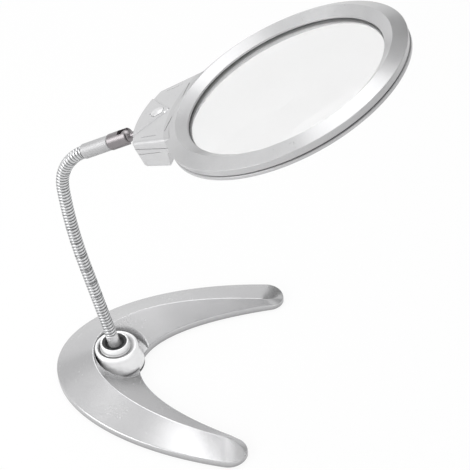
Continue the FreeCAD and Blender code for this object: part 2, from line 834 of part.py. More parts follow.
def front_frame():
    """Front half of the ring in one piece with the top of the battery housing."""
    bottom = seam_height - roof_at(root_reach) + housing_top - overrun
    block = housing_block(0, root_reach, bottom, housing_top)
    block = block.makeFillet(corner_round, upright_edges(block, nose_corner - corner_round))
    block = block.makeFillet(top_round, level_edges(block, housing_top, heel_reach))
    block = sloped(block.fuse(tongue()))
    block = block.cut(Part.makeBox(lens_reach, root_half * 4, ring_thickness(),
                                   at_lens(lens_reach, -root_half * 2, seam_height - ring_thickness())))
    room = sloped(housing_block(housing_wall, root_reach, bottom - overrun, housing_top - housing_wall))
    clear = rod(ring_hollow_outer, ring_thickness() * 2, at_lens(0, 0, ring_bottom), UP)
    block = block.cut(clear)
    body = block.cut(room).fuse(front_ring())
    inner_room = room.common(rod(facet_radius + overrun, ring_thickness() * 2,
                                 at_lens(0, 0, ring_bottom), UP))
    inner_room = inner_room.cut(rod(ring_hollow_outer - housing_wall, ring_thickness() * 2,
                                    at_lens(0, 0, ring_bottom), UP))
    low_room = Part.makeBox(lens_reach, root_half * 2, ring_thickness(),
                            at_lens(lens_reach, -root_half, facet_height - housing_wall - ring_thickness()))
    body = body.cut(inner_room.common(low_room))
    for post in frame_posts(seam_height, facet_height - strip_height, frame_post_radius):
        body = body.fuse(post)
    for hole in frame_posts(seam_height - overrun, facet_height - strip_height - flat, screw_radius + flat):
        body = body.cut(hole)
    for side in (1, -1):
        body = body.cut(sloped(groove(at_lens(groove_reach, side * groove_inner, housing_top),
                                      at_lens(groove_reach, side * groove_outer, housing_top))))
        body = body.cut(sloped(groove(at_lens(side_groove_start, side * side_groove_across, housing_top),
                                      at_lens(side_groove_end, side * side_groove_end_across, housing_top))))
    hole_top = roof_at(button_reach) + tongue_rise + overrun
    hole_depth = tongue_rise + housing_wall + 2 * overrun
    hole = rod(button_radius + button_play, hole_depth, at_lens(button_reach, 0, hole_top - hole_depth), UP)
    dimple_floor = roof_at(dimple_reach) + tongue_rise - groove_depth
    dimple = rod(dimple_radius, groove_depth + overrun, at_lens(dimple_reach, 0, dimple_floor), UP)
    body = body.cut(hole).cut(dimple)
    return body.removeSplitter()


def ring_thickness():
    return crest_height - ring_bottom


def stud_hole():
    """Round way for the ball stud through the nose of the housing."""
    return rod(stem_radius + flat, lens_reach - nose_reach + housing_wall * 2, V(0, 0, 0), V(1, 0, 0))


contact_half = (cell_length + cell_cap + spring_length + flat) / 2


def rear_ring():
    low = seam_height - seam_width
    return ring_turned([(seam_radius, low), (band_radius, low - seam_width), (band_radius, band_height),
                        (band_radius - ring_bottom_inset, ring_bottom),
                        (rear_slope_radius, ring_bottom), (rear_opening_radius, rear_lip_height),
                        (rear_opening_radius, lens_seat - lens_edge),
                        (lens_radius + lens_play, lens_seat - lens_edge),
                        (lens_radius + lens_play, low), (ring_hollow_inner, low),
                        (ring_hollow_inner, ring_bottom + ring_floor),
                        (ring_hollow_outer, ring_bottom + ring_floor),
                        (ring_hollow_outer, low)])


def rear_block(inset, bottom):
    """Lower part of the housing with its heel sloping up to the ring."""
    low = seam_height - seam_width
    block = housing_block(inset, root_reach, bottom, low)
    heel = [at_lens(heel_reach + inset + heel_slope, 0, bottom - overrun),
            at_lens(heel_reach + inset, 0, ring_bottom),
            at_lens(root_reach - overrun, 0, ring_bottom), at_lens(root_reach - overrun, 0, bottom - overrun)]
    heel_face = Part.Face(polygon(heel))
    cutter = heel_face.extrude(V(0, root_half * 4, 0))
    cutter.translate(V(0, -root_half * 2, 0))
    return block.cut(cutter)


def side_line():
    """Shallow line round the housing, level with its sloping top."""
    low = side_line_height
    whole = housing_block(-overrun, side_line_end, low, low + side_line_width)
    inside = housing_block(side_line_depth, root_reach, low - overrun, low + overrun)
    return sloped(whole.cut(inside))


def rear_frame():
    """Rear half of the ring in one piece with the battery box."""
    low = seam_height - seam_width
    block = rear_block(0, housing_bottom)
    block = block.makeFillet(corner_round, upright_edges(block, nose_corner - corner_round))
    edges = [edge for edge in block.Edges
             if abs(edge.BoundBox.ZMax - lens_plane - housing_bottom) < flat and edge.BoundBox.ZLength < flat]
    block = block.makeFillet(bottom_round, edges)
    room = rear_block(housing_wall, housing_bottom + housing_wall)
    inside = rod(ring_hollow_inner, ring_thickness() * 4, at_lens(0, 0, housing_bottom - overrun), UP)
    body = block.cut(room).cut(inside).fuse(rear_ring())
    passage = rear_block(housing_wall, ring_bottom + ring_floor).cut(inside)
    body = body.cut(passage)
    for hole in frame_posts(ring_bottom - overrun, seam_height, screw_radius + flat):
        body = body.cut(hole)
    for hole in frame_posts(ring_bottom - overrun, ring_bottom + ring_floor / 2, screw_head_radius + flat):
        body = body.cut(hole)
    body = body.cut(side_line())
    opening = Part.makeBox(door_end - heel_reach, door_half * 2, housing_wall * 2,
                           at_lens(door_end, -door_half, housing_bottom - housing_wall + flat))
    body = body.cut(opening)
    track = Part.makeBox(door_end - heel_reach, (door_half + door_lip) * 2, track_width,
                         at_lens(door_end, -door_half - door_lip, housing_bottom + track_low))
    body = body.cut(track)
    for side in (1, -1):
        hole = rod(led_radius + flat, led_length * 2, V(0, 0, -led_length), UP)
        body = body.cut(moved(hole, led_place(side)))
    for reach in cell_reaches():
        bay = rod(cell_radius + running, contact_half * 2,
                  at_lens(reach, -contact_half, cell_height), V(0, 1, 0))
        body = body.cut(bay)
    body = body.cut(stud_hole())
    return body.removeSplitter()


def lens():
    """Double convex lens with a flat rim and a small stronger lens moulded into its front."""
    top = lens_seat
    bottom = lens_seat - lens_edge
    rim = opening_radius - lens_play
    front = Part.Arc(V(rim, 0, top), V(rim / 2, 0, top + lens_front_sag * half_way_sag_share),
                     V(0, 0, top + lens_front_sag))
    rear_rim = rear_opening_radius - lens_play
    rear = Part.Arc(V(0, 0, bottom - lens_rear_sag),
                    V(rear_rim / 2, 0, bottom - lens_rear_sag * half_way_sag_share),
                    V(rear_rim, 0, bottom))
    middle = Part.LineSegment(V(0, 0, top + lens_front_sag), V(0, 0, bottom - lens_rear_sag))
    edges = [front.toShape(), middle.toShape(),
             rear.toShape(), Part.LineSegment(V(rear_rim, 0, bottom), V(lens_radius, 0, bottom)).toShape(),
             Part.LineSegment(V(lens_radius, 0, bottom), V(lens_radius, 0, top)).toShape(),
             Part.LineSegment(V(lens_radius, 0, top), V(rim, 0, top)).toShape()]
    body = Part.Face(Part.Wire(edges)).revolve(V(0, 0, 0), UP, 360)
    distance = math.hypot(insert_along, insert_across)
    surface = top + lens_front_sag * (1 - (distance / rim) ** 2)
    curve = (insert_radius ** 2 + insert_sag ** 2) / (2 * insert_sag)
    ball = Part.makeSphere(curve, V(insert_along, insert_across, surface + insert_sag - curve))
    room = rod(insert_radius * insert_room_share, lens_front_sag,
               V(insert_along, insert_across, bottom / 2), UP)
    body = body.fuse(ball.common(room))
    body.translate(at_lens(0, 0, 0))
    return body.removeSplitter()


def battery_door():
    """Sliding door with side lips and grip ribs, flush with the bottom of the box."""
    half = door_half - door_play
    start = door_start
    end = door_end - door_play
    door = Part.makeBox(end - start, half * 2, door_thick, at_lens(end, -half, housing_bottom))
    lips = Part.makeBox(end - start, (half + door_lip) * 2, track_width - 2 * track_play,
                        at_lens(end, -half - door_lip, housing_bottom + track_low + track_play))
    door = door.fuse(lips)
    for rib in range(door_ribs):
        reach = start + door_rib_start + door_rib_pitch * rib
        door = door.cut(Part.makeBox(door_rib_pitch / 2, door_rib_length, door_rib_depth + overrun,
                                     at_lens(reach, -door_rib_length / 2, housing_bottom - overrun)))
    return door.removeSplitter()


def cell_reaches():
    """Distances of the two cells, side by side behind the nut of the ball's stem."""
    front = nose_reach - housing_wall - nut_room - cell_radius
    return front, front - 2 * cell_radius - cell_gap


def battery_cells():
    cells = []
    for index, reach in enumerate(cell_reaches()):
        side = 1 if index % 2 else -1
        start = at_lens(reach, side * (spring_length - contact_half), cell_height)
        cell = rod(cell_radius, cell_length, start, V(0, side, 0))
        cap = rod(cell_cap_radius, cell_length + cell_cap, start, V(0, side, 0))
        cells.append(cell.fuse(cap).removeSplitter())
    return Part.Compound(cells)


def contact_wall(reach, side):
    """Where the contact plate stands behind one end of a cell."""
    return at_lens(reach, side * contact_half, cell_height)


def contact_plates():
    plates = []
    for side in (1, -1):
        front, back = cell_reaches()
        start = contact_wall(front, side)
        span = front - back + contact_width
        corner = V(start.x - contact_width / 2, start.y - (contact_thick if side < 0 else 0),
                   start.z - contact_width / 2)
        plates.append(Part.makeBox(span, contact_thick, contact_width, corner))
    return Part.Compound(plates)


def contact_springs():
    """Coil against the flat end of each cell."""
    springs = []
    for index, reach in enumerate(cell_reaches()):
        side = 1 if index % 2 else -1
        start = contact_wall(reach, -side)
        free = spring_length - 2 * spring_wire - 2 * flat
        helix = Part.makeHelix(free / spring_turns, free, spring_radius)
        section = Part.Wire(Part.makeCircle(spring_wire, V(spring_radius, 0, 0), V(0, 1, 0)))
        coil = Part.Wire(helix).makePipeShell([section], True, False)
        coil.rotate(V(0, 0, 0), V(1, 0, 0), -90 * side)
        coil.translate(V(start.x, start.y + side * (spring_wire + flat), start.z))
        springs.append(coil)
    return Part.Compound(springs)


def circuit_board():
    board = Part.makeBox(board_length, board_width, board_thick,
                         at_lens(board_reach + board_length / 2, -board_width / 2, board_top - board_thick))
    return board


def switch_body():
    half = switch_width / 2
    bottom = board_top
    box = Part.makeBox(switch_width, switch_width, switch_height, at_lens(button_reach + half, -half, bottom))
    box = box.makeChamfer(cross_width / 2, [edge for edge in box.Edges if edge.BoundBox.ZLength > flat])
    depth = plunger_sink + button_travel + clip_play
    well = rod(button_stem_radius + running, depth + overrun,
               at_lens(button_reach, 0, bottom + switch_height - depth), UP)
    return box.cut(well)


def switch_button():
    """Domed push button with a flange under the tongue's skin and a stem into the switch."""
    top = roof_at(button_reach) + tongue_rise + button_proud
    under = roof_at(button_reach + button_radius + button_flange) - housing_wall - button_play
    low = board_top + switch_height - plunger_sink
    body = turned([(0, low), (button_stem_radius, low), (button_stem_radius, under - button_flange_height),
                   (button_radius + button_flange, under - button_flange_height),
                   (button_radius + button_flange, under), (button_radius, under),
                   (button_radius, top), (0, top)])
    curve = (button_radius ** 2 + button_dome ** 2) / (2 * button_dome)
    dome = Part.makeSphere(curve, V(0, 0, top - curve), V(1, 0, 0))
    stem = rod(button_radius + button_flange, under - low, V(0, 0, low), UP)
    body = body.common(dome.fuse(stem)).removeSplitter()
    body.translate(at_lens(button_reach, 0, 0))
    return body


def led_place(side):
    """Placement of a lamp: its Z points down and a little towards the lens."""
    rotation = FreeCAD.Rotation(V(0, 1, 0), 180 - led_lean)
    return FreeCAD.Placement(at_lens(led_reach, side * led_across, ring_bottom), rotation)


def leds():
    lamps = []
    for side in (1, -1):
        lamp = rod(led_radius, led_length - led_radius, V(0, 0, led_radius - led_length), UP)
        lamp = lamp.fuse(Part.makeSphere(led_radius))
        lamp = lamp.fuse(rod(led_flange_radius, led_flange, V(0, 0, led_radius - led_length), UP))
        lamps.append(moved(lamp.removeSplitter(), led_place(side)))
    return Part.Compound(lamps)


def lamp_wires():
    """Pair of leads from the board to the lamps, each straight run ending at its lamp."""
    wires = []
    for side in (1, -1):
        start = at_lens(board_reach - board_length / 2 - wire_start, side * led_across / 2,
                        board_top - board_thick / 2)
        end = led_place(side).multVec(V(0, 0, led_radius - led_length - wire_radius - flat))
        run = end - start
        wires.append(rod(wire_radius, run.Length, start, run))
    return Part.Compound(wires)


def frame_screws():
    screws = []
    for reach, across in frame_screw_places:
        part = screw(frame_screw_length)
        part.translate(at_lens(reach, across, ring_bottom + ring_floor / 2))
        screws.append(part)
    return Part.Compound(screws)


def ball_stud():
    """Polished ball on a stem with a flange that seats on the nose."""
    nose = lens_reach - nose_reach
    thread_end = nose + housing_wall + nut_play + nut_height + flat
    body = Part.makeSphere(ball_radius)
    body = body.fuse(rod(stem_neck_radius, nose, V(0, 0, 0), V(1, 0, 0)))
    body = body.fuse(rod(stem_radius, thread_end - ball_radius - stud_flange,
                         V(ball_radius + stud_flange, 0, 0), V(1, 0, 0)))
    body = body.fuse(rod(stud_flange_radius, stud_flange, V(nose - stud_flange - flat, 0, 0), V(1, 0, 0)))
    return body.removeSplitter()


def stud_nut():
    """Hexagon nut on the stud inside the housing."""
    start = lens_reach - nose_reach + housing_wall + nut_play
    corners = []
    for corner in range(6):
        angle = math.radians(60 * corner)
        corners.append(V(start, nut_radius * math.cos(angle), nut_radius * math.sin(angle)))
    nut = Part.Face(polygon(corners)).extrude(V(nut_height, 0, 0))
    return nut.cut(rod(stem_radius, nut_height + 2 * overrun, V(start - overrun, 0, 0), V(1, 0, 0)))


def save(name, shape):
    shape.exportStep("parts/" + name + ".step")
    volume = round(shape.Volume / 1000, 2)
    print(name, "solids", len(shape.Solids), "valid", shape.isValid(), "volume", volume)


os.makedirs("parts", exist_ok=True)

save("base_shell", base_shell())
save("base_cover", base_cover())
save("base_weight", base_weight())
save("base_feet", base_feet())
save("base_screws", base_screws())
save("neck_boss", neck_boss())
save("boss_screws", boss_screws())
save("bush", bush())
save("bush_clip", bush_clip())
save("neck_plug", neck_plug())
for number in range(segment_count):
    save("neck_segment_%02d" % (number + 1), neck_segment(number))
save("upper_ferrule", upper_ferrule())
save("ball_socket", ball_socket())
save("snap_ring", snap_ring())

head = head_place()
save("ball_stud", moved(ball_stud(), head))
save("stud_nut", moved(stud_nut(), head))
save("front_frame", moved(front_frame(), head))
save("rear_frame", moved(rear_frame(), head))
save("lens", moved(lens(), head))
save("battery_door", moved(battery_door(), head))
save("battery_cells", moved(battery_cells(), head))
save("contact_plates", moved(contact_plates(), head))
save("contact_springs", moved(contact_springs(), head))
save("circuit_board", moved(circuit_board(), head))
save("switch_body", moved(switch_body(), head))
save("switch_button", moved(switch_button(), head))
save("leds", moved(leds(), head))
save("lamp_wires", moved(lamp_wires(), head))
save("frame_screws", moved(frame_screws(), head))

print("hose length", round(hose_end - plug_top, 1), "ball at", head.Base)
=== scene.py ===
import bpy
import json
import math
from mathutils import Matrix, Vector


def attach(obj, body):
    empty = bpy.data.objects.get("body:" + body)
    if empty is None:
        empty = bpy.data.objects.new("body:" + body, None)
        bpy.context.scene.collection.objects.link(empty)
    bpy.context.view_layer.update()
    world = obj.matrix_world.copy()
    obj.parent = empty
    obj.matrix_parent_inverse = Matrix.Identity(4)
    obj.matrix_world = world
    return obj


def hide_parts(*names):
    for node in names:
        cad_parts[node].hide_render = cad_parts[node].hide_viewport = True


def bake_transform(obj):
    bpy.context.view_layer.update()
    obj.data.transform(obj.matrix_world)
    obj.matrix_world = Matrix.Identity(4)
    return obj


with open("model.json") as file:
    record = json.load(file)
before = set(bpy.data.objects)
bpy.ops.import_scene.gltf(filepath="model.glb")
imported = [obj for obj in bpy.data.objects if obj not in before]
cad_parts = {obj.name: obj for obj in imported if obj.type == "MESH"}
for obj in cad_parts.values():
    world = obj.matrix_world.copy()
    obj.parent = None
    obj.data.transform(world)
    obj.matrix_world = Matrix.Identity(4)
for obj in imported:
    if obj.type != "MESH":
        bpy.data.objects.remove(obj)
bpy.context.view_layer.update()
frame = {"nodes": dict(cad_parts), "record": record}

mm = 0.001

# stand magnifier: crescent base, bell boss, spiral neck, ball joint, ringed lens on a battery handle


# camera at the photograph's viewpoint

cameraPlace = {  # angles in degrees, the rest in metres, lens and film in millimetres
    "turn": 13.96, "height": 39.9, "roll": -5.61, "away": 1.201, "aim": (0.05732, 0.14668, 0.0),
    "lens": 119.5, "film": 36, "clip": (0.05, 20)}


def placeCamera():
    turn, height, roll = (math.radians(cameraPlace[k]) for k in ("turn", "height", "roll"))
    back = Vector((math.sin(turn) * math.cos(height), -math.cos(turn) * math.cos(height), math.sin(height)))
    side = Vector((math.cos(turn), math.sin(turn), 0))
    up = back.cross(side)
    right = side * math.cos(roll) + up * math.sin(roll)
    top = up * math.cos(roll) - side * math.sin(roll)
    spot = Vector(cameraPlace["aim"]) + back * cameraPlace["away"]
    data = bpy.data.cameras.new("viewpoint")
    data.lens = cameraPlace["lens"]
    data.sensor_width = cameraPlace["film"]
    data.clip_start, data.clip_end = cameraPlace["clip"]
    camera = bpy.data.objects.new("viewpoint", data)
    camera.matrix_world = Matrix((
        (right.x, top.x, back.x, spot.x),
        (right.y, top.y, back.y, spot.y),
        (right.z, top.z, back.z, spot.z),
        (0, 0, 0, 1)))
    bpy.context.scene.collection.objects.link(camera)
    bpy.context.scene.camera = camera


placeCamera()
print("camera placed")


# finishes

finishes = {  # "edge" in millimetres; the painted-shade reaches and "ringReach" in metres
    "silver": {
        "light": (0.52, 0.52, 0.525), "dark": (0.48, 0.48, 0.487), "grain": 900, "metal": 0.75,
        "rough": (0.23, 0.28), "bump": 0.008, "edge": 0.4, "coat": 0.25, "paintedShadeReaches": (0.006,)},
    "head_silver": {
        "light": (0.55, 0.55, 0.555), "dark": (0.505, 0.505, 0.512), "grain": 1500, "metal": 0.6,
        "rough": (0.27, 0.35), "bump": 0.03, "edge": 0.4, "coat": 0.2,
        "ringShare": 0.88, "ringReach": (0.0777, 0.0781)},
    "button_silver": {
        "light": (0.66, 0.66, 0.665), "dark": (0.6, 0.6, 0.607), "grain": 900, "metal": 0.5,
        "rough": (0.3, 0.38), "bump": 0.01, "edge": 0.3, "coat": 0.3},
    "white": {
        "light": (0.95, 0.95, 0.955), "dark": (0.92, 0.92, 0.925), "grain": 120, "metal": 0.15,
        "rough": (0.08, 0.14), "bump": 0.01, "edge": 0.4, "coat": 0.8, "paintedShadeReaches": (0.003, 0.0015)},
    "black": {
        "light": (0.012, 0.012, 0.013), "dark": (0.006, 0.006, 0.007), "grain": 700, "metal": 0.0,
        "rough": (0.42, 0.6), "bump": 0.12, "edge": 0.2, "coat": 0.0},
    "dark_cover": {
        "light": (0.045, 0.045, 0.048), "dark": (0.03, 0.03, 0.033), "grain": 1500, "metal": 0.0,
        "rough": (0.5, 0.68), "bump": 0.25, "edge": 0.3, "coat": 0.0},
    "iron": {
        "light": (0.05, 0.05, 0.052), "dark": (0.025, 0.025, 0.026), "grain": 400, "metal": 0.6,
        "rough": (0.55, 0.8), "bump": 0.5, "edge": 0.4, "coat": 0.0},
    "pad": {
        "light": (0.02, 0.02, 0.02), "dark": (0.01, 0.01, 0.01), "grain": 1800, "metal": 0.0,
        "rough": (0.7, 0.9), "bump": 0.2, "edge": 0.2, "coat": 0.0},
    "screw": {
        "light": (0.62, 0.63, 0.65), "dark": (0.4, 0.41, 0.43), "grain": 800, "metal": 1.0,
        "rough": (0.25, 0.4), "bump": 0.05, "edge": 0.15, "coat": 0.0},
    "spring": {
        "light": (0.7, 0.71, 0.73), "dark": (0.5, 0.51, 0.53), "grain": 900, "metal": 1.0,
        "rough": (0.15, 0.25), "bump": 0.02, "edge": 0.1, "coat": 0.0},
    "hose": {
        "light": (0.72, 0.725, 0.73), "dark": (0.56, 0.565, 0.575), "grain": 600, "metal": 1.0,
        "rough": (0.2, 0.28), "bump": 0.03, "edge": 0.15, "coat": 0.0, "paintedShadeReaches": (0.0016, 0.0016)},
    "ferrule": {
        "light": (0.46, 0.46, 0.465), "dark": (0.42, 0.42, 0.425), "grain": 1400, "metal": 0.7,
        "rough": (0.5, 0.58), "bump": 0.04, "edge": 0.3, "coat": 0.0},
    "plug": {
        "light": (0.72, 0.72, 0.725), "dark": (0.66, 0.66, 0.665), "grain": 500, "metal": 0.6,
        "rough": (0.25, 0.35), "bump": 0.02, "edge": 0.3, "coat": 0.3},
    "chrome": {
        "light": (0.29, 0.272, 0.28), "dark": (0.25, 0.235, 0.242), "grain": 200, "metal": 1.0,
        "rough": (0.3, 0.38), "bump": 0.01, "edge": 0.25, "coat": 0.0},
    "door_grey": {
        "light": (0.44, 0.445, 0.46), "dark": (0.38, 0.385, 0.4), "grain": 1500, "metal": 0.2,
        "rough": (0.4, 0.5), "bump": 0.15, "edge": 0.3, "coat": 0.0},
    "cell": {
        "light": (0.08, 0.1, 0.13), "dark": (0.05, 0.06, 0.08), "grain": 200, "metal": 0.4,
        "rough": (0.2, 0.3), "bump": 0.02, "edge": 0.3, "coat": 0.4},
    "board": {
        "light": (0.03, 0.16, 0.07), "dark": (0.02, 0.1, 0.045), "grain": 600, "metal": 0.0,
        "rough": (0.3, 0.45), "bump": 0.1, "edge": 0.1, "coat": 0.3},
    "wire": {
        "light": (0.35, 0.02, 0.015), "dark": (0.25, 0.012, 0.01), "grain": 500, "metal": 0.0,
        "rough": (0.35, 0.45), "bump": 0.02, "edge": 0.1, "coat": 0.0},
}

mixing = {
    "grainDetail": 4, "cloudDetail": 2, "cloudSize": 18, "grainPart": 0.6, "cloudPart": 0.4,
    "tones": (0.35, 0.65), "roughFrom": (0.3, 0.7), "paintedShadeSamples": 8, "edgeSamples": 6,
    "bumpDepth": 0.1, "coatRough": 0.12, "hazeShade": 0.985}

lensPoints = [v.co for v in frame["nodes"]["lens"].data.vertices]
lensMiddle = [(min(p[k] for p in lensPoints) + max(p[k] for p in lensPoints)) / 2 for k in range(3)]


def emptyMaterial(name):
    material = bpy.data.materials.new(name)
    material.use_nodes = True
    material.node_tree.nodes.clear()
    return material, material.node_tree.nodes, material.node_tree.links


def mixedFinish(name, spec):
    material, nodes, links = emptyMaterial(name)
    out = nodes.new("ShaderNodeOutputMaterial")
    skin = nodes.new("ShaderNodeBsdfPrincipled")
    spot = nodes.new("ShaderNodeTexCoord")
    grain = nodes.new("ShaderNodeTexNoise")
    grain.inputs["Scale"].default_value = spec["grain"]
    grain.inputs["Detail"].default_value = mixing["grainDetail"]
    cloud = nodes.new("ShaderNodeTexNoise")
    cloud.inputs["Scale"].default_value = spec["grain"] / mixing["cloudSize"]
    cloud.inputs["Detail"].default_value = mixing["cloudDetail"]
    links.new(spot.outputs["Object"], grain.inputs["Vector"])
    links.new(spot.outputs["Object"], cloud.inputs["Vector"])
    blend = nodes.new("ShaderNodeMath")
    blend.operation = "MULTIPLY_ADD"
    blend.inputs[1].default_value = mixing["grainPart"]
    links.new(grain.outputs["Fac"], blend.inputs[0])
    clouded = nodes.new("ShaderNodeMath")
    clouded.operation = "MULTIPLY"
    clouded.inputs[1].default_value = mixing["cloudPart"]
    links.new(cloud.outputs["Fac"], clouded.inputs[0])
    links.new(clouded.outputs[0], blend.inputs[2])
    ramp = nodes.new("ShaderNodeValToRGB")
    for stop, place, tint in zip(ramp.color_ramp.elements, mixing["tones"], (spec["dark"], spec["light"])):
        stop.position = place
        stop.color = (*tint, 1)
    links.new(blend.outputs[0], ramp.inputs["Fac"])
    shade = ramp.outputs["Color"]
    for reach in spec.get("paintedShadeReaches", ()):  # painted shade: ambient occlusion darkens the base colour in hollows and creases
        paintedShade = nodes.new("ShaderNodeAmbientOcclusion")
        paintedShade.samples = mixing["paintedShadeSamples"]
        paintedShade.inputs["Distance"].default_value = reach
        links.new(shade, paintedShade.inputs["Color"])
        shade = paintedShade.outputs["Color"]
    if "ringShare" in spec:  # the ring is a little darker than the housing
        away = nodes.new("ShaderNodeVectorMath")
        away.operation = "DISTANCE"
        away.inputs[1].default_value = lensMiddle
        links.new(spot.outputs["Object"], away.inputs[0])
        share = nodes.new("ShaderNodeMapRange")
        share.inputs["From Min"].default_value = spec["ringReach"][0]
        share.inputs["From Max"].default_value = spec["ringReach"][1]
        share.inputs["To Min"].default_value = spec["ringShare"]
        links.new(away.outputs["Value"], share.inputs["Value"])
        tone = nodes.new("ShaderNodeVectorMath")
        tone.operation = "SCALE"
        links.new(shade, tone.inputs[0])
        links.new(share.outputs["Result"], tone.inputs["Scale"])
        shade = tone.outputs["Vector"]
    links.new(shade, skin.inputs["Base Color"])
    rough = nodes.new("ShaderNodeMapRange")
    rough.inputs["From Min"].default_value, rough.inputs["From Max"].default_value = mixing["roughFrom"]
    rough.inputs["To Min"].default_value, rough.inputs["To Max"].default_value = spec["rough"]
    links.new(blend.outputs[0], rough.inputs["Value"])
    links.new(rough.outputs["Result"], skin.inputs["Roughness"])
    edge = nodes.new("ShaderNodeBevel")
    edge.samples = mixing["edgeSamples"]
    edge.inputs["Radius"].default_value = spec["edge"] * mm
    bump = nodes.new("ShaderNodeBump")
    bump.inputs["Strength"].default_value = spec["bump"]
    bump.inputs["Distance"].default_value = mixing["bumpDepth"] * mm
    links.new(grain.outputs["Fac"], bump.inputs["Height"])
    links.new(edge.outputs["Normal"], bump.inputs["Normal"])
    links.new(bump.outputs["Normal"], skin.inputs["Normal"])
    skin.inputs["Metallic"].default_value = spec["metal"]
    skin.inputs["Coat Weight"].default_value = spec["coat"]
    skin.inputs["Coat Roughness"].default_value = mixing["coatRough"]
    links.new(skin.outputs[0], out.inputs["Surface"])
    return material


def clearFinish(name, spec):
    material, nodes, links = emptyMaterial(name)
    skin = nodes.new("ShaderNodeBsdfPrincipled")
    links.new(skin.outputs[0], nodes.new("ShaderNodeOutputMaterial").inputs["Surface"])
    skin.inputs["Transmission Weight"].default_value = 1.0
    skin.inputs["IOR"].default_value = spec["bending"]
    skin.inputs["Alpha"].default_value = spec["alpha"]
    spot = nodes.new("ShaderNodeTexCoord")
    haze = nodes.new("ShaderNodeTexNoise")
    haze.inputs["Scale"].default_value = spec["haze"]
    links.new(spot.outputs["Object"], haze.inputs["Vector"])
    ramp = nodes.new("ShaderNodeValToRGB")
    ramp.color_ramp.elements[0].color = (*(part * mixing["hazeShade"] for part in spec["tint"]), 1)
    ramp.color_ramp.elements[1].color = (*spec["tint"], 1)
    links.new(haze.outputs["Fac"], ramp.inputs["Fac"])
    links.new(ramp.outputs["Color"], skin.inputs["Base Color"])
    soft = nodes.new("ShaderNodeMapRange")
    soft.inputs["To Min"].default_value, soft.inputs["To Max"].default_value = spec["rough"]
    links.new(haze.outputs["Fac"], soft.inputs["Value"])
    links.new(soft.outputs["Result"], skin.inputs["Roughness"])
    return material


clearFinishes = {
    "lens": {"tint": (0.42, 0.42, 0.425), "rough": (0.0, 0.02), "bending": 1.49, "haze": 40, "alpha": 0.22},
    "lamp": {"tint": (0.95, 0.96, 1.0), "rough": (0.05, 0.12), "bending": 1.5, "haze": 300, "alpha": 1.0},
}
paint = {name: mixedFinish(name, spec) for name, spec in finishes.items()}
paint.update({name: clearFinish(name, spec) for name, spec in clearFinishes.items()})

ownPaint = {
    "front_frame": "head_silver", "rear_frame": "head_silver",
    "switch_button": "button_silver", "neck_plug": "plug"}
for entry in frame["record"]["subparts"]:
    mesh = frame["nodes"][entry["node"]].data
    mesh.materials.clear()
    mesh.materials.append(paint[ownPaint.get(entry["node"], entry["material_slot"])])
print("finishes mixed")


# mesh helpers

def addPiece(name, points, faces, body, slot, hides=()):
    mesh = bpy.data.meshes.new(name)
    mesh.from_pydata([tuple(p) for p in points], [], faces)
    mesh.validate()
    for face in mesh.polygons:
        face.use_smooth = True
    mesh.materials.append(paint[slot])
    piece = bpy.data.objects.new(name, mesh)
    bpy.context.scene.collection.objects.link(piece)
    if body:
        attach(piece, body)
    if hides:
        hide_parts(*hides)
    return piece


def skinRows(rows, wrapAcross, wrapAlong, flip):
    across, along = len(rows[0]), len(rows)
    points = [p for row in rows for p in row]
    faces = []
    for i in range(along if wrapAlong else along - 1):
        for j in range(across if wrapAcross else across - 1):
            a, b = i * across + j, i * across + (j + 1) % across
            c, d = ((i + 1) % along) * across + (j + 1) % across, ((i + 1) % along) * across + j
            faces.append((d, c, b, a) if flip else (a, b, c, d))
    return points, faces


def softCorners(line, cuts, steps, most):  # most is the share of a side that a rounded corner may take
    made = [line[0]]
    for before, corner, after, cut in zip(line, line[1:], line[2:], cuts):
        inward, outward = before - corner, after - corner
        reach = min(cut, inward.length * most, outward.length * most)
        first = corner + inward.normalized() * reach
        last = corner + outward.normalized() * reach
        for step in range(steps + 1):
            t = step / steps
            made.append(first * (1 - t) ** 2 + corner * 2 * t * (1 - t) + last * t * t)
    made.append(line[-1])
    return made


def fillRuns(line, runs):
    made = [line[0]]
    for start, end, count in zip(line, line[1:], runs):
        for step in range(1, count + 1):
            made.append(start.lerp(end, step / count))
    return made


# crescent base

baseBody = {  # millimetres; the first three are ellipses: middle, long and short radius, end of the edge
    "outer": (114.2, 156.7, 88.1, 93.3), "inner": (328.7, 311.7, 96.0, 99.4),
    "ridge": (125.0, 140.0, 70.0, 96.0), "ridgeHigh": 17.9, "ridgeDrop": 0.0927, "ridgeBack": -15.0,
    "foot": 0.7, "outerWall": 4.8, "innerWall": 4.9,
    "tip": (106.5, 75.0), "tipOuter": 12.35, "tipInner": 10.6, "tipWall": 3.1, "tipBend": 93.0, "tipRise": 3,
    "lip": 2.2, "lipHigh": 1.7, "lipShare": 0.3, "lipWidth": 6, "thin": 0.001,
    "lipSoft": 0.2, "footSoft": 0.5, "edgeSoft": 0.7, "ridgeSoft": 0.6, "softShare": 0.3, "softLeast": 0.02,
    "cornerSteps": 4, "cornerMost": 0.45, "slopeRuns": (15, 20), "slopeCells": 60,
    "backRows": 150, "tipRows": 26, "rowEase": 0.35,
    "dishFloor": 4.9, "dishStart": 1.6, "dishLean": 0.69, "dishRadius": 21.6, "dishWiden": 0.215,
    "dishSoft": 1.0, "dishHalvings": 12}


def ellipseAt(shape, share):
    centre, long, wide, end = shape
    turn = share * math.acos((centre - end) / long)
    return Vector((centre - long * math.cos(turn), wide * math.sin(turn)))


def tipAt(spec, start, radius, share):  # round corner from a long edge to the furthest point of the leg
    centre = Vector(spec["tip"]) - Vector((radius, 0))
    spoke = start - centre
    turn = math.atan2(spoke.y, spoke.x) * (1 - share)
    reach = spoke.length + (radius - spoke.length) * share
    return centre + Vector((math.cos(turn), math.sin(turn))) * reach


def dishDepth(spec, p, high):
    rise = high - spec["dishFloor"]
    across = math.hypot(p.x - spec["dishStart"] - rise * spec["dishLean"], p.y)
    return spec["dishRadius"] + rise * spec["dishWiden"] - across


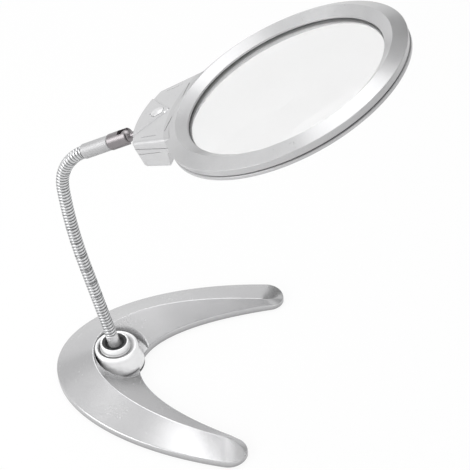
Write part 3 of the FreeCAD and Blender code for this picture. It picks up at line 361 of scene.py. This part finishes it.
def dished(spec, p):  # ground lowered round the bell, with a soft lip
    depth = dishDepth(spec, p, p.z)
    if p.z <= spec["dishFloor"] or depth < -spec["dishSoft"]:
        return p
    low, high = spec["dishFloor"], p.z
    if dishDepth(spec, p, low) < 0:
        for step in range(spec["dishHalvings"]):
            middle = (low + high) / 2
            if dishDepth(spec, p, middle) < 0:
                low = middle
            else:
                high = middle
    share = min(max(depth / spec["dishSoft"] + 0.5, 0), 1)
    share = share * share * (3 - 2 * share)
    return Vector((p.x, p.y, p.z + (low - p.z) * share))


def tipShrink(spec, x):  # the leg tips bend down
    run = min(max((x - spec["tipBend"]) / (spec["tip"][0] - spec["tipBend"]), 0), 1)
    return 1 - (1 - spec["tipWall"] / spec["outerWall"]) * run


def baseRow(spec, along, side):  # section; along runs from 0 to 1 on the leg and from 1 to 2 round its tip
    leg, close = min(along, 1), max(along - 1, 0)
    outer, inner, ridge = (ellipseAt(spec[edge], leg) for edge in ("outer", "inner", "ridge"))
    if close:
        outer = tipAt(spec, outer, spec["tipOuter"], close)
        inner = tipAt(spec, inner, spec["tipInner"], close)
        ridge = ridge.lerp(Vector(spec["tip"]), close)
    crest = (spec["ridgeHigh"] - spec["ridgeDrop"] * (ridge.x - spec["ridgeBack"])) * tipShrink(spec, ridge.x)
    edge, rim = spec["outerWall"] * tipShrink(spec, outer.x), spec["innerWall"] * tipShrink(spec, inner.x)
    crest += (edge - crest) * close ** spec["tipRise"]
    width = (inner - outer).length
    cross = (inner - outer).normalized() if width > spec["thin"] else Vector((0, -1))
    lip, lift = min(spec["lip"], width * spec["lipShare"]), spec["lipHigh"] * min(1, width / spec["lipWidth"])
    corners = [(outer + cross * lip, lift), (outer + cross * lip, 0), (outer, 0), (outer, edge), (ridge, crest),
               (inner, rim), (inner, 0), (inner - cross * lip, 0), (inner - cross * lip, lift)]
    line = [Vector((flat.x, flat.y * side, spec["foot"] + high)) for flat, high in corners]
    kinds = ("lipSoft", "footSoft", "edgeSoft", "ridgeSoft", "edgeSoft", "footSoft", "lipSoft")
    cuts = [min(spec[kind], spec["softShare"] * width + spec["softLeast"]) for kind in kinds]
    soft = softCorners(line, cuts, spec["cornerSteps"], spec["cornerMost"])
    runs = [1] * (len(soft) - 1)
    for run in spec["slopeRuns"]:
        runs[run] = spec["slopeCells"]
    return [dished(spec, p) * mm for p in fillRuns(soft, runs)]


def buildBase(spec):
    shares = [k / spec["backRows"] for k in range(spec["backRows"] + 1)]
    shares = [share * (spec["rowEase"] + (1 - spec["rowEase"]) * share) for share in shares]
    shares += [1 + (k + 1) / spec["tipRows"] for k in range(spec["tipRows"])]
    rows = [baseRow(spec, share, -1) for share in reversed(shares)]
    rows += [baseRow(spec, share, 1) for share in shares[1:]]
    points, faces = skinRows(rows, False, False, True)
    addPiece("base_body", points, faces, "base", "silver", ["base_shell"])


buildBase(baseBody)
print("base built")


# bell boss with its collar

bossBell = {
    "profile": [  # radius, height, how far forward of the collar's axis
        (16.3, 4.6, 0.6), (16.3, 2.55, 0.6), (18.5, 2.55, 0.6), (18.5, 5.2, 0.6), (18.15, 7.0, 0.6),
        (17.6, 8.7, 0.6), (17.1, 10.4, 0.6), (16.65, 12.0, 0.6), (16.25, 13.4, 0.6), (15.95, 14.8, 0.6),
        (15.8, 16.2, 0.6), (15.45, 17.3, 0.6), (14.8, 18.0, 0.6), (13.9, 18.28, 0.6), (13.0, 17.9, 0.6),
        (12.3, 17.0, 0.5), (11.6, 16.2, 0.3), (11.0, 15.95, 0.1), (10.75, 16.2, 0.0), (10.7, 16.9, 0.0),
        (10.15, 17.2, 0.0), (10.05, 17.6, 0.0), (10.0, 21.1, 0.0), (9.85, 21.7, 0.0), (9.35, 22.0, 0.0),
        (8.85, 21.95, 0.0), (8.56, 21.6, 0.0), (8.54, 18.0, 0.0), (8.54, 4.9, 0.0), (10.5, 4.9, 0.0),
        (10.5, 13.4, 0.0), (12.4, 12.2, 0.3), (14.4, 9.8, 0.6), (16.0, 6.0, 0.6)],
    "turns": 160, "round": 3, "soft": 0.15}


def buildBoss(spec):
    line = [Vector(corner) for corner in spec["profile"]]
    smooth = []
    for before, here, after in zip(line[-1:] + line[:-1], line, line[1:] + line[:1]):
        first, last = here.lerp(before, spec["soft"]), here.lerp(after, spec["soft"])
        for step in range(spec["round"]):
            t = step / (spec["round"] - 1)
            smooth.append(first * (1 - t) ** 2 + here * 2 * t * (1 - t) + last * t * t)
    rows = []
    for step in range(spec["turns"]):
        turn = 2 * math.pi * step / spec["turns"]
        rows.append([Vector((q.z + q.x * math.cos(turn), q.x * math.sin(turn), q.y)) * mm for q in smooth])
    points, faces = skinRows(rows, True, True, False)
    addPiece("boss_bell", points, faces, "base", "white", ["neck_boss"])


buildBoss(bossBell)
print("boss built")


# spiral neck

neckLine = {  # angles in degrees, lengths in millimetres
    "turn": -7.86, "foot": 20.0, "lean": 9.8, "straight": 73.1, "slow": 370.0, "bend": 37.7, "over": 61.7}
spiralHose = {
    "segments": 14, "start": 9.7, "gap": 0.56, "endRoom": 0.09, "radius": 4.3, "valley": 3.5,
    "pitch": 2.44, "ribShare": 0.84, "ribPower": 2.4, "ribCrown": 0.6, "perTurn": 48, "rows": 96,
    "bore": 2.75, "mouth": 3.46, "mouthDeep": 1.3,
    "core": 3.36, "coreReach": 1.1, "endReach": 0.15, "fill": 3.95, "fillHalf": 0.26}


def neckAt(length):
    spec = neckLine
    lean, over = math.radians(spec["lean"]), math.radians(spec["over"])
    slowRun = spec["slow"] * lean
    first = min(length, spec["straight"])
    along, high, heading = -first * math.sin(lean), spec["foot"] + first * math.cos(lean), -lean
    rest = length - first
    if rest > 0:
        run = min(rest, slowRun)
        heading = -lean + run / spec["slow"]
        along += spec["slow"] * (math.cos(lean) - math.cos(heading))
        high += spec["slow"] * (math.sin(heading) + math.sin(lean))
        rest -= run
    if rest > 0:
        heading = min(rest / spec["bend"], over)
        along += spec["bend"] * (1 - math.cos(heading))
        high += spec["bend"] * math.sin(heading)
        rest -= spec["bend"] * heading
        along += max(rest, 0) * math.sin(heading)
        high += max(rest, 0) * math.cos(heading)
    turn = Matrix.Rotation(math.radians(spec["turn"]), 3, "Z")
    spot = turn @ Vector((along, 0, high))
    return spot, turn @ Matrix.Rotation(heading, 3, "Y")


neckEnd = neckLine["straight"] + neckLine["slow"] * math.radians(neckLine["lean"])
neckEnd += neckLine["bend"] * math.radians(neckLine["over"])


def hoseRing(spec, length, radiusAt):  # radiusAt gives the radius for each share of a turn
    spot, turn = neckAt(length)
    ring = []
    for j in range(spec["perTurn"]):
        angle, radius = 2 * math.pi * j / spec["perTurn"], radiusAt(j / spec["perTurn"])
        ring.append((spot + turn @ Vector((radius * math.cos(angle), radius * math.sin(angle), 0))) * mm)
    return ring


def ribRadius(spec, length, share):  # the hose is wound from one rounded strip
    phase = (length / spec["pitch"] - share) % 1
    rise = max(0, 1 - abs((phase - 0.5) * 2 / spec["ribShare"]) ** spec["ribPower"]) ** spec["ribCrown"]
    return spec["valley"] + (spec["radius"] - spec["valley"]) * rise


def buildHose(spec):
    step = (neckEnd - spec["start"]) / spec["segments"]
    for number in range(spec["segments"]):
        low = spec["start"] + step * number + spec["gap"] / 2
        high = low + step - spec["gap"]
        low += spec["endRoom"] if number == 0 else 0
        high -= spec["endRoom"] if number == spec["segments"] - 1 else 0
        rows = []
        for k in range(spec["rows"] + 1):
            length = low + (high - low) * k / spec["rows"]
            rows.append(hoseRing(spec, length, lambda share: ribRadius(spec, length, share)))
        deep = spec["mouthDeep"]
        inside = [(high, spec["mouth"]), (high - deep, spec["mouth"]), (high - deep, spec["bore"]),
                  (low + deep, spec["bore"]), (low + deep, spec["mouth"]), (low, spec["mouth"])]
        for length, radius in inside:
            rows.append(hoseRing(spec, length, lambda share: radius))
        points, faces = skinRows(rows, True, True, True)
        name = "neck_segment_%02d" % (number + 1)
        addPiece("hose_%02d" % (number + 1), points, faces, name, "hose", [name])


def buildCores(spec):  # thin sleeves that bridge the joints of the hose
    step = (neckEnd - spec["start"]) / spec["segments"]
    for number in range(spec["segments"] + 1):
        middle = spec["start"] + step * number
        low = middle - (spec["endReach"] if number == 0 else spec["coreReach"])
        high = middle + (spec["endReach"] if number == spec["segments"] else spec["coreReach"])
        before, after = middle - spec["fillHalf"], middle + spec["fillHalf"]
        thin, full = spec["core"], spec["fill"]
        stations = [(low, thin), (high, thin)]
        if 0 < number < spec["segments"]:
            stations[1:1] = [(before, thin), (before, full), (after, full), (after, thin)]
        rows = []
        for length, radius in stations:
            rows.append(hoseRing(spec, length, lambda share: radius))
        rows += [hoseRing(spec, length, lambda share: spec["bore"]) for length in (high, low)]
        points, faces = skinRows(rows, True, True, True)
        core = addPiece("hose_core_%02d" % (number + 1), points, faces, None, "hose")
        neckAt(before)[0] * mm
        neckAt(after)[0] * mm
        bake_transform(core)


buildHose(spiralHose)
buildCores(spiralHose)
print("neck built")


# floor, backdrop and lights

studio = {"floor": 3.0, "floorDrop": 0.0002, "floorShade": 0.82, "keep": 0.9, "world": 0.6}


def flatSheet(name, wide, high, level):
    mesh = bpy.data.meshes.new(name)
    corners = [(-wide, -high, level), (wide, -high, level), (wide, high, level), (-wide, high, level)]
    mesh.from_pydata(corners, [], [(0, 1, 2, 3)])
    sheet = bpy.data.objects.new(name, mesh)
    bpy.context.scene.collection.objects.link(sheet)
    return sheet


def directlySeen(nodes, links):  # 1 for what the camera sees, through the lens and in shiny surfaces too
    rays = nodes.new("ShaderNodeLightPath")
    seen = rays.outputs["Is Camera Ray"]
    for kind in ("Is Transmission Ray", "Is Glossy Ray"):
        either = nodes.new("ShaderNodeMath")
        either.operation = "MAXIMUM"
        links.new(seen, either.inputs[0])
        links.new(rays.outputs[kind], either.inputs[1])
        seen = either.outputs[0]
    return seen


def buildStudio(spec):
    floor = flatSheet("floor", spec["floor"], spec["floor"], -spec["floorDrop"])
    material, nodes, links = emptyMaterial("floor")
    out = nodes.new("ShaderNodeOutputMaterial")
    cloth = nodes.new("ShaderNodeBsdfDiffuse")
    cloth.inputs["Color"].default_value = (spec["floorShade"],) * 3 + (1,)
    glow = nodes.new("ShaderNodeEmission")
    glow.inputs["Color"].default_value = (1, 1, 1, 1)
    share = nodes.new("ShaderNodeMath")
    share.operation = "MULTIPLY"
    share.inputs[1].default_value = spec["keep"]
    links.new(directlySeen(nodes, links), share.inputs[0])
    mix = nodes.new("ShaderNodeMixShader")
    links.new(share.outputs[0], mix.inputs["Fac"])
    links.new(cloth.outputs[0], mix.inputs[1])
    links.new(glow.outputs[0], mix.inputs[2])
    links.new(mix.outputs[0], out.inputs["Surface"])
    floor.data.materials.append(material)

    world = bpy.data.worlds.new("studio")
    bpy.context.scene.world = world
    world.use_nodes = True
    nodes, links = world.node_tree.nodes, world.node_tree.links
    nodes.clear()
    out = nodes.new("ShaderNodeOutputWorld")
    light = nodes.new("ShaderNodeBackground")
    light.inputs["Color"].default_value = (1, 1, 1, 1)
    light.inputs["Strength"].default_value = spec["world"]
    white = nodes.new("ShaderNodeBackground")
    white.inputs["Color"].default_value = (1, 1, 1, 1)
    white.inputs["Strength"].default_value = 1
    mix = nodes.new("ShaderNodeMixShader")
    links.new(directlySeen(nodes, links), mix.inputs["Fac"])
    links.new(light.outputs[0], mix.inputs[1])
    links.new(white.outputs[0], mix.inputs[2])
    links.new(mix.outputs[0], out.inputs["Surface"])


lamps = {  # the matt one isn't seen in shiny surfaces
    "overhead": {"spot": (-0.16, 0.58, 1.32), "aim": (0.06, 0, 0.1), "size": (0.9, 1.1), "power": 6.5},
    "window": {"spot": (-1.2, -0.7, 0.9), "aim": (0.03, 0, 0.12), "size": (1.0, 1.2), "power": 12},
    "fill": {"spot": (1.3, -0.9, 0.6), "aim": (0.08, 0, 0.12), "size": (0.8, 1.2), "power": 1.5},
    "front": {
        "spot": (-0.35, -1.2, 0.56), "aim": (0.03, 0, 0.03), "size": (0.8, 0.6), "power": 7.5,
        "matt": True},
}
cardMiddle = Vector((0.07, 0, 0.06))
cards = {  # grey boards that only reflections show; turn and rise in degrees round the middle
    "card_left": {"turn": 155, "rise": 15, "away": 0.95, "size": (0.28, 0.7), "shade": 0.7},
    "card_back": {"turn": 36, "rise": 30, "away": 0.95, "size": (0.85, 0.6), "shade": 0.45},
    "card_strip": {"turn": 82, "rise": 38, "away": 0.95, "size": (0.2, 0.85), "shade": 0.03},
    "card_top": {"turn": -30, "rise": 70, "away": 1.0, "size": (0.6, 0.45), "shade": 0.5},
}


def aimAt(spot, aim):
    return (Vector(spot) - Vector(aim)).to_track_quat("Z", "Y")


def buildLights():
    for name, spec in lamps.items():
        data = bpy.data.lights.new(name, "AREA")
        data.shape = "RECTANGLE"
        data.size, data.size_y = spec["size"]
        data.energy = spec["power"]
        lamp = bpy.data.objects.new(name, data)
        lamp.location = spec["spot"]
        lamp.visible_glossy = "matt" not in spec
        lamp.rotation_mode = "QUATERNION"
        lamp.rotation_quaternion = aimAt(spec["spot"], spec["aim"])
        bpy.context.scene.collection.objects.link(lamp)
    for name, spec in cards.items():
        turn, rise = math.radians(spec["turn"]), math.radians(spec["rise"])
        ray = Vector((math.cos(rise) * math.cos(turn), math.cos(rise) * math.sin(turn), math.sin(rise)))
        card = flatSheet(name, spec["size"][0] / 2, spec["size"][1] / 2, 0)
        card.location = cardMiddle + ray * spec["away"]
        card.rotation_mode = "QUATERNION"
        card.rotation_quaternion = aimAt(card.location, cardMiddle)
        material, nodes, links = emptyMaterial(name)
        glow = nodes.new("ShaderNodeEmission")
        glow.inputs["Color"].default_value = (spec["shade"],) * 3 + (1,)
        links.new(glow.outputs[0], nodes.new("ShaderNodeOutputMaterial").inputs["Surface"])
        card.data.materials.append(material)
        card.visible_camera = card.visible_transmission = card.visible_diffuse = card.visible_shadow = False


buildStudio(studio)
buildLights()
bpy.context.scene.view_settings.view_transform = "Standard"
print("studio lit")
